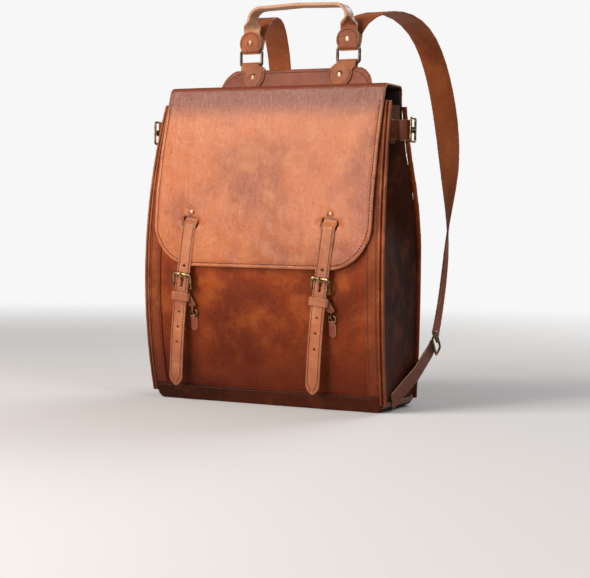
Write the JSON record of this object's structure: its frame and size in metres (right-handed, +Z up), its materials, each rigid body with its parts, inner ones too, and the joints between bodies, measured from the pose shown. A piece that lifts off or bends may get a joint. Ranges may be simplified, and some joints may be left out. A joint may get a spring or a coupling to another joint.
{
  "type": "leather backpack",
  "caption": "Flap-top leather backpack with two leaning buckled closure straps, a grab handle on rectangular rings, side cinches and shoulder straps.",
  "frame": {"origin": "centre of the base's resting face", "axes": "+Z up, front of the bag (the flap) faces -Y, +X is the bag's right seen from the front"},
  "size_m": [0.3908, 0.3449, 0.5501],
  "materials": {
    "leather_flap": "hand-dyed orange tan, waxed pull-up",
    "leather_body": "hand-dyed red brown, waxed pull-up",
    "leather_trim": "lighter tan strap leather",
    "raw_edge": "natural cut edge, unpainted",
    "suede": "flesh side, napped",
    "lining_cloth": "dark woven cotton",
    "thread": "waxed dark red-brown thread",
    "antique_brass": "antiqued, darkened in the corners",
    "dark_bronze": "dark bronze, rubbed on the edges",
    "copper": "brushed copper rivet"
  },
  "bodies": {
    "bag": {"front_panel": "leather_body", "front_strip_right": "leather_body", "front_strip_left": "leather_body", "bottom_band": "leather_body", "back_panel": "leather_body", "gusset_right": "leather_body", "gusset_left": "leather_body", "bottom_panel": "leather_body", "front_welt_right": "raw_edge", "front_welt_left": "raw_edge", "back_welt_right": "raw_edge", "back_welt_left": "raw_edge", "lining": "lining_cloth", "inner_sleeve": "lining_cloth", "flap_back_strip": "leather_flap", "anchor_tab_right": "leather_trim", "anchor_tab_left": "leather_trim", "handle_panel": "leather_body", "lower_handle_tab_right": "leather_trim", "lower_handle_tab_left": "leather_trim", "lower_tab_rivets": "copper", "shoulder_strap_right": "leather_trim", "shoulder_strap_left": "leather_trim", "lower_strap_right": "leather_trim", "lower_strap_left": "leather_trim", "lower_buckle_right": "antique_brass", "lower_buckle_left": "antique_brass", "cinch_strap_right": "leather_trim", "cinch_strap_left": "leather_trim", "cinch_buckle_right": "antique_brass", "cinch_buckle_left": "antique_brass", "cinch_rivets": "copper"},
    "flap_top": {"flap_top": "leather_flap"},
    "flap": {"flap": "leather_flap", "closure_strap_left": "leather_trim", "closure_strap_right": "leather_trim", "buckle_left": "antique_brass", "buckle_right": "antique_brass", "prong_left": "antique_brass", "prong_right": "antique_brass", "keeper_left": "leather_trim", "keeper_right": "leather_trim", "buckle_tab_left": "leather_trim", "buckle_tab_right": "leather_trim", "anchor_hook_left": "antique_brass", "anchor_hook_right": "antique_brass", "closure_rivets": "copper"},
    "roller_left": {"roller_left": "antique_brass"},
    "roller_right": {"roller_right": "antique_brass"},
    "anchor_ring_left": {"anchor_ring_left": "antique_brass"},
    "anchor_ring_right": {"anchor_ring_right": "antique_brass"},
    "handle": {"handle_ring_left": "dark_bronze", "handle_ring_right": "dark_bronze", "end_tab_left": "leather_trim", "end_tab_right": "leather_trim", "end_tab_rivets": "copper", "handle_strap": "leather_trim"}
  },
  "joints": [
    {"name": "flap_lift", "type": "hinge", "parent": "bag", "child": "flap_top", "pos_m": [0, 0.01124, 0.42924], "axis": [-1, 0, 0], "range_deg": [0, 62]},
    {"name": "flap_fold", "type": "hinge", "parent": "flap_top", "child": "flap", "pos_m": [0, -0.04142, 0.42898], "axis": [-1, 0, 0], "range_deg": [0, 110]},
    {"name": "handle_swing", "type": "hinge", "parent": "bag", "child": "handle", "pos_m": [0, 0.02962, 0.46664], "axis": [1, 0, 0], "range_deg": [-20, 12], "deforming": ["shoulder_strap_right", "shoulder_strap_left"]},
    {"name": "roller_spin_left", "type": "hinge", "parent": "flap", "child": "roller_left", "pos_m": [-0.11268, -0.09252, 0.17396], "axis": [0.9945, 0, -0.1045], "continuous": true},
    {"name": "anchor_ring_tilt_left", "type": "hinge", "parent": "bag", "child": "anchor_ring_left", "pos_m": [-0.10095, -0.07836, 0.1158], "axis": [1, 0, 0], "range_deg": [-4, 8]},
    {"name": "roller_spin_right", "type": "hinge", "parent": "flap", "child": "roller_right", "pos_m": [0.09522, -0.09252, 0.17396], "axis": [0.9945, 0, -0.1045], "continuous": true},
    {"name": "anchor_ring_tilt_right", "type": "hinge", "parent": "bag", "child": "anchor_ring_right", "pos_m": [0.10695, -0.07836, 0.1158], "axis": [1, 0, 0], "range_deg": [-4, 8]}
  ],
  "couplings": [
    {"joint": "flap_fold", "follows": "flap_lift", "ratio": 1.75}
  ]
}
